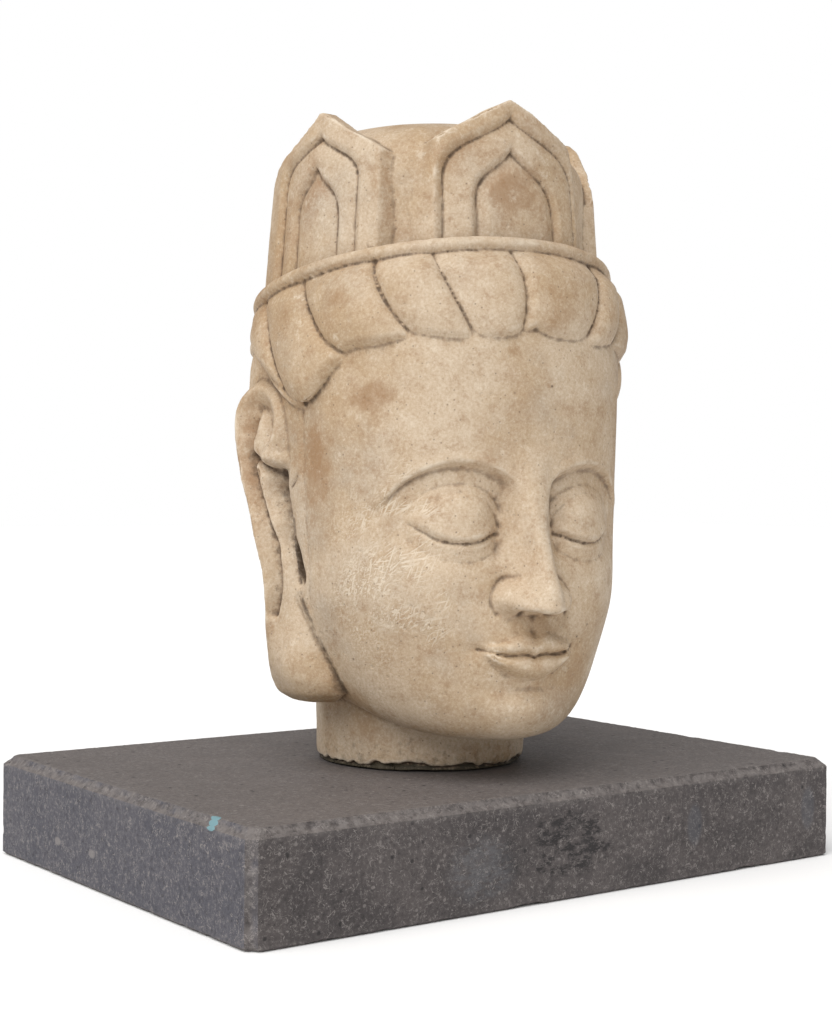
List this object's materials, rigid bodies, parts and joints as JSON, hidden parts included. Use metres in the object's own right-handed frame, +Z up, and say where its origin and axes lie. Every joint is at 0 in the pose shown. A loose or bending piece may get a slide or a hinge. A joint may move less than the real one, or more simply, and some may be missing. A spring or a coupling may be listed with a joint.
{
  "type": "stone buddha head",
  "caption": "Carved cream marble head with a crown of pointed petals, twisted hair roll and long ears, standing by its neck on a dark chamfered bluestone slab.",
  "frame": {"origin": "middle of the slab's underside", "axes": "+Z up, X along the slab's length, -Y the side the carved face looks to"},
  "size_m": [0.351, 0.2487, 0.3702],
  "materials": {
    "cream_marble": "honed and weathered",
    "bluestone": "honed"
  },
  "bodies": {
    "root": {"marble_head": "cream_marble", "bluestone_slab": "bluestone"}
  },
  "joints": []
}
